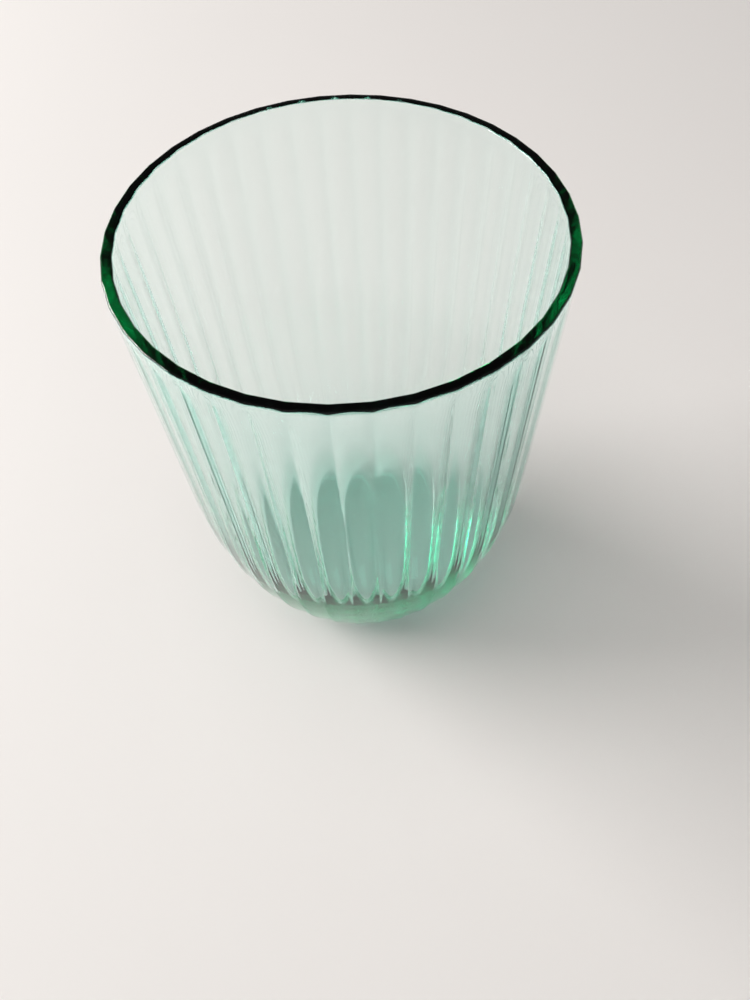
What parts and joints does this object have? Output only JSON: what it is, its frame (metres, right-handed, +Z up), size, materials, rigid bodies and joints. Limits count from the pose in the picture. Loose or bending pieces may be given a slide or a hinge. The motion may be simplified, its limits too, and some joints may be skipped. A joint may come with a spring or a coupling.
{
  "type": "fluted tea glass",
  "caption": "Straight-sided tea glass with soft upright flutes, a curved lower wall, a thick base and a fire-polished rim, open at the top for a hot or cold drink.",
  "frame": {"origin": "middle of the foot, on the surface the glass stands on", "axes": "+Z up the axis of the glass, out of its mouth; +X and +Y level, each through a ridge between two flutes; -Y is the side seen in front"},
  "size_m": [0.07, 0.07, 0.092],
  "materials": {
    "green_glass": "clear pale green glass, fire-polished, with a dark green look through its edges"
  },
  "bodies": {
    "root": {"glass": "green_glass"}
  },
  "joints": []
}
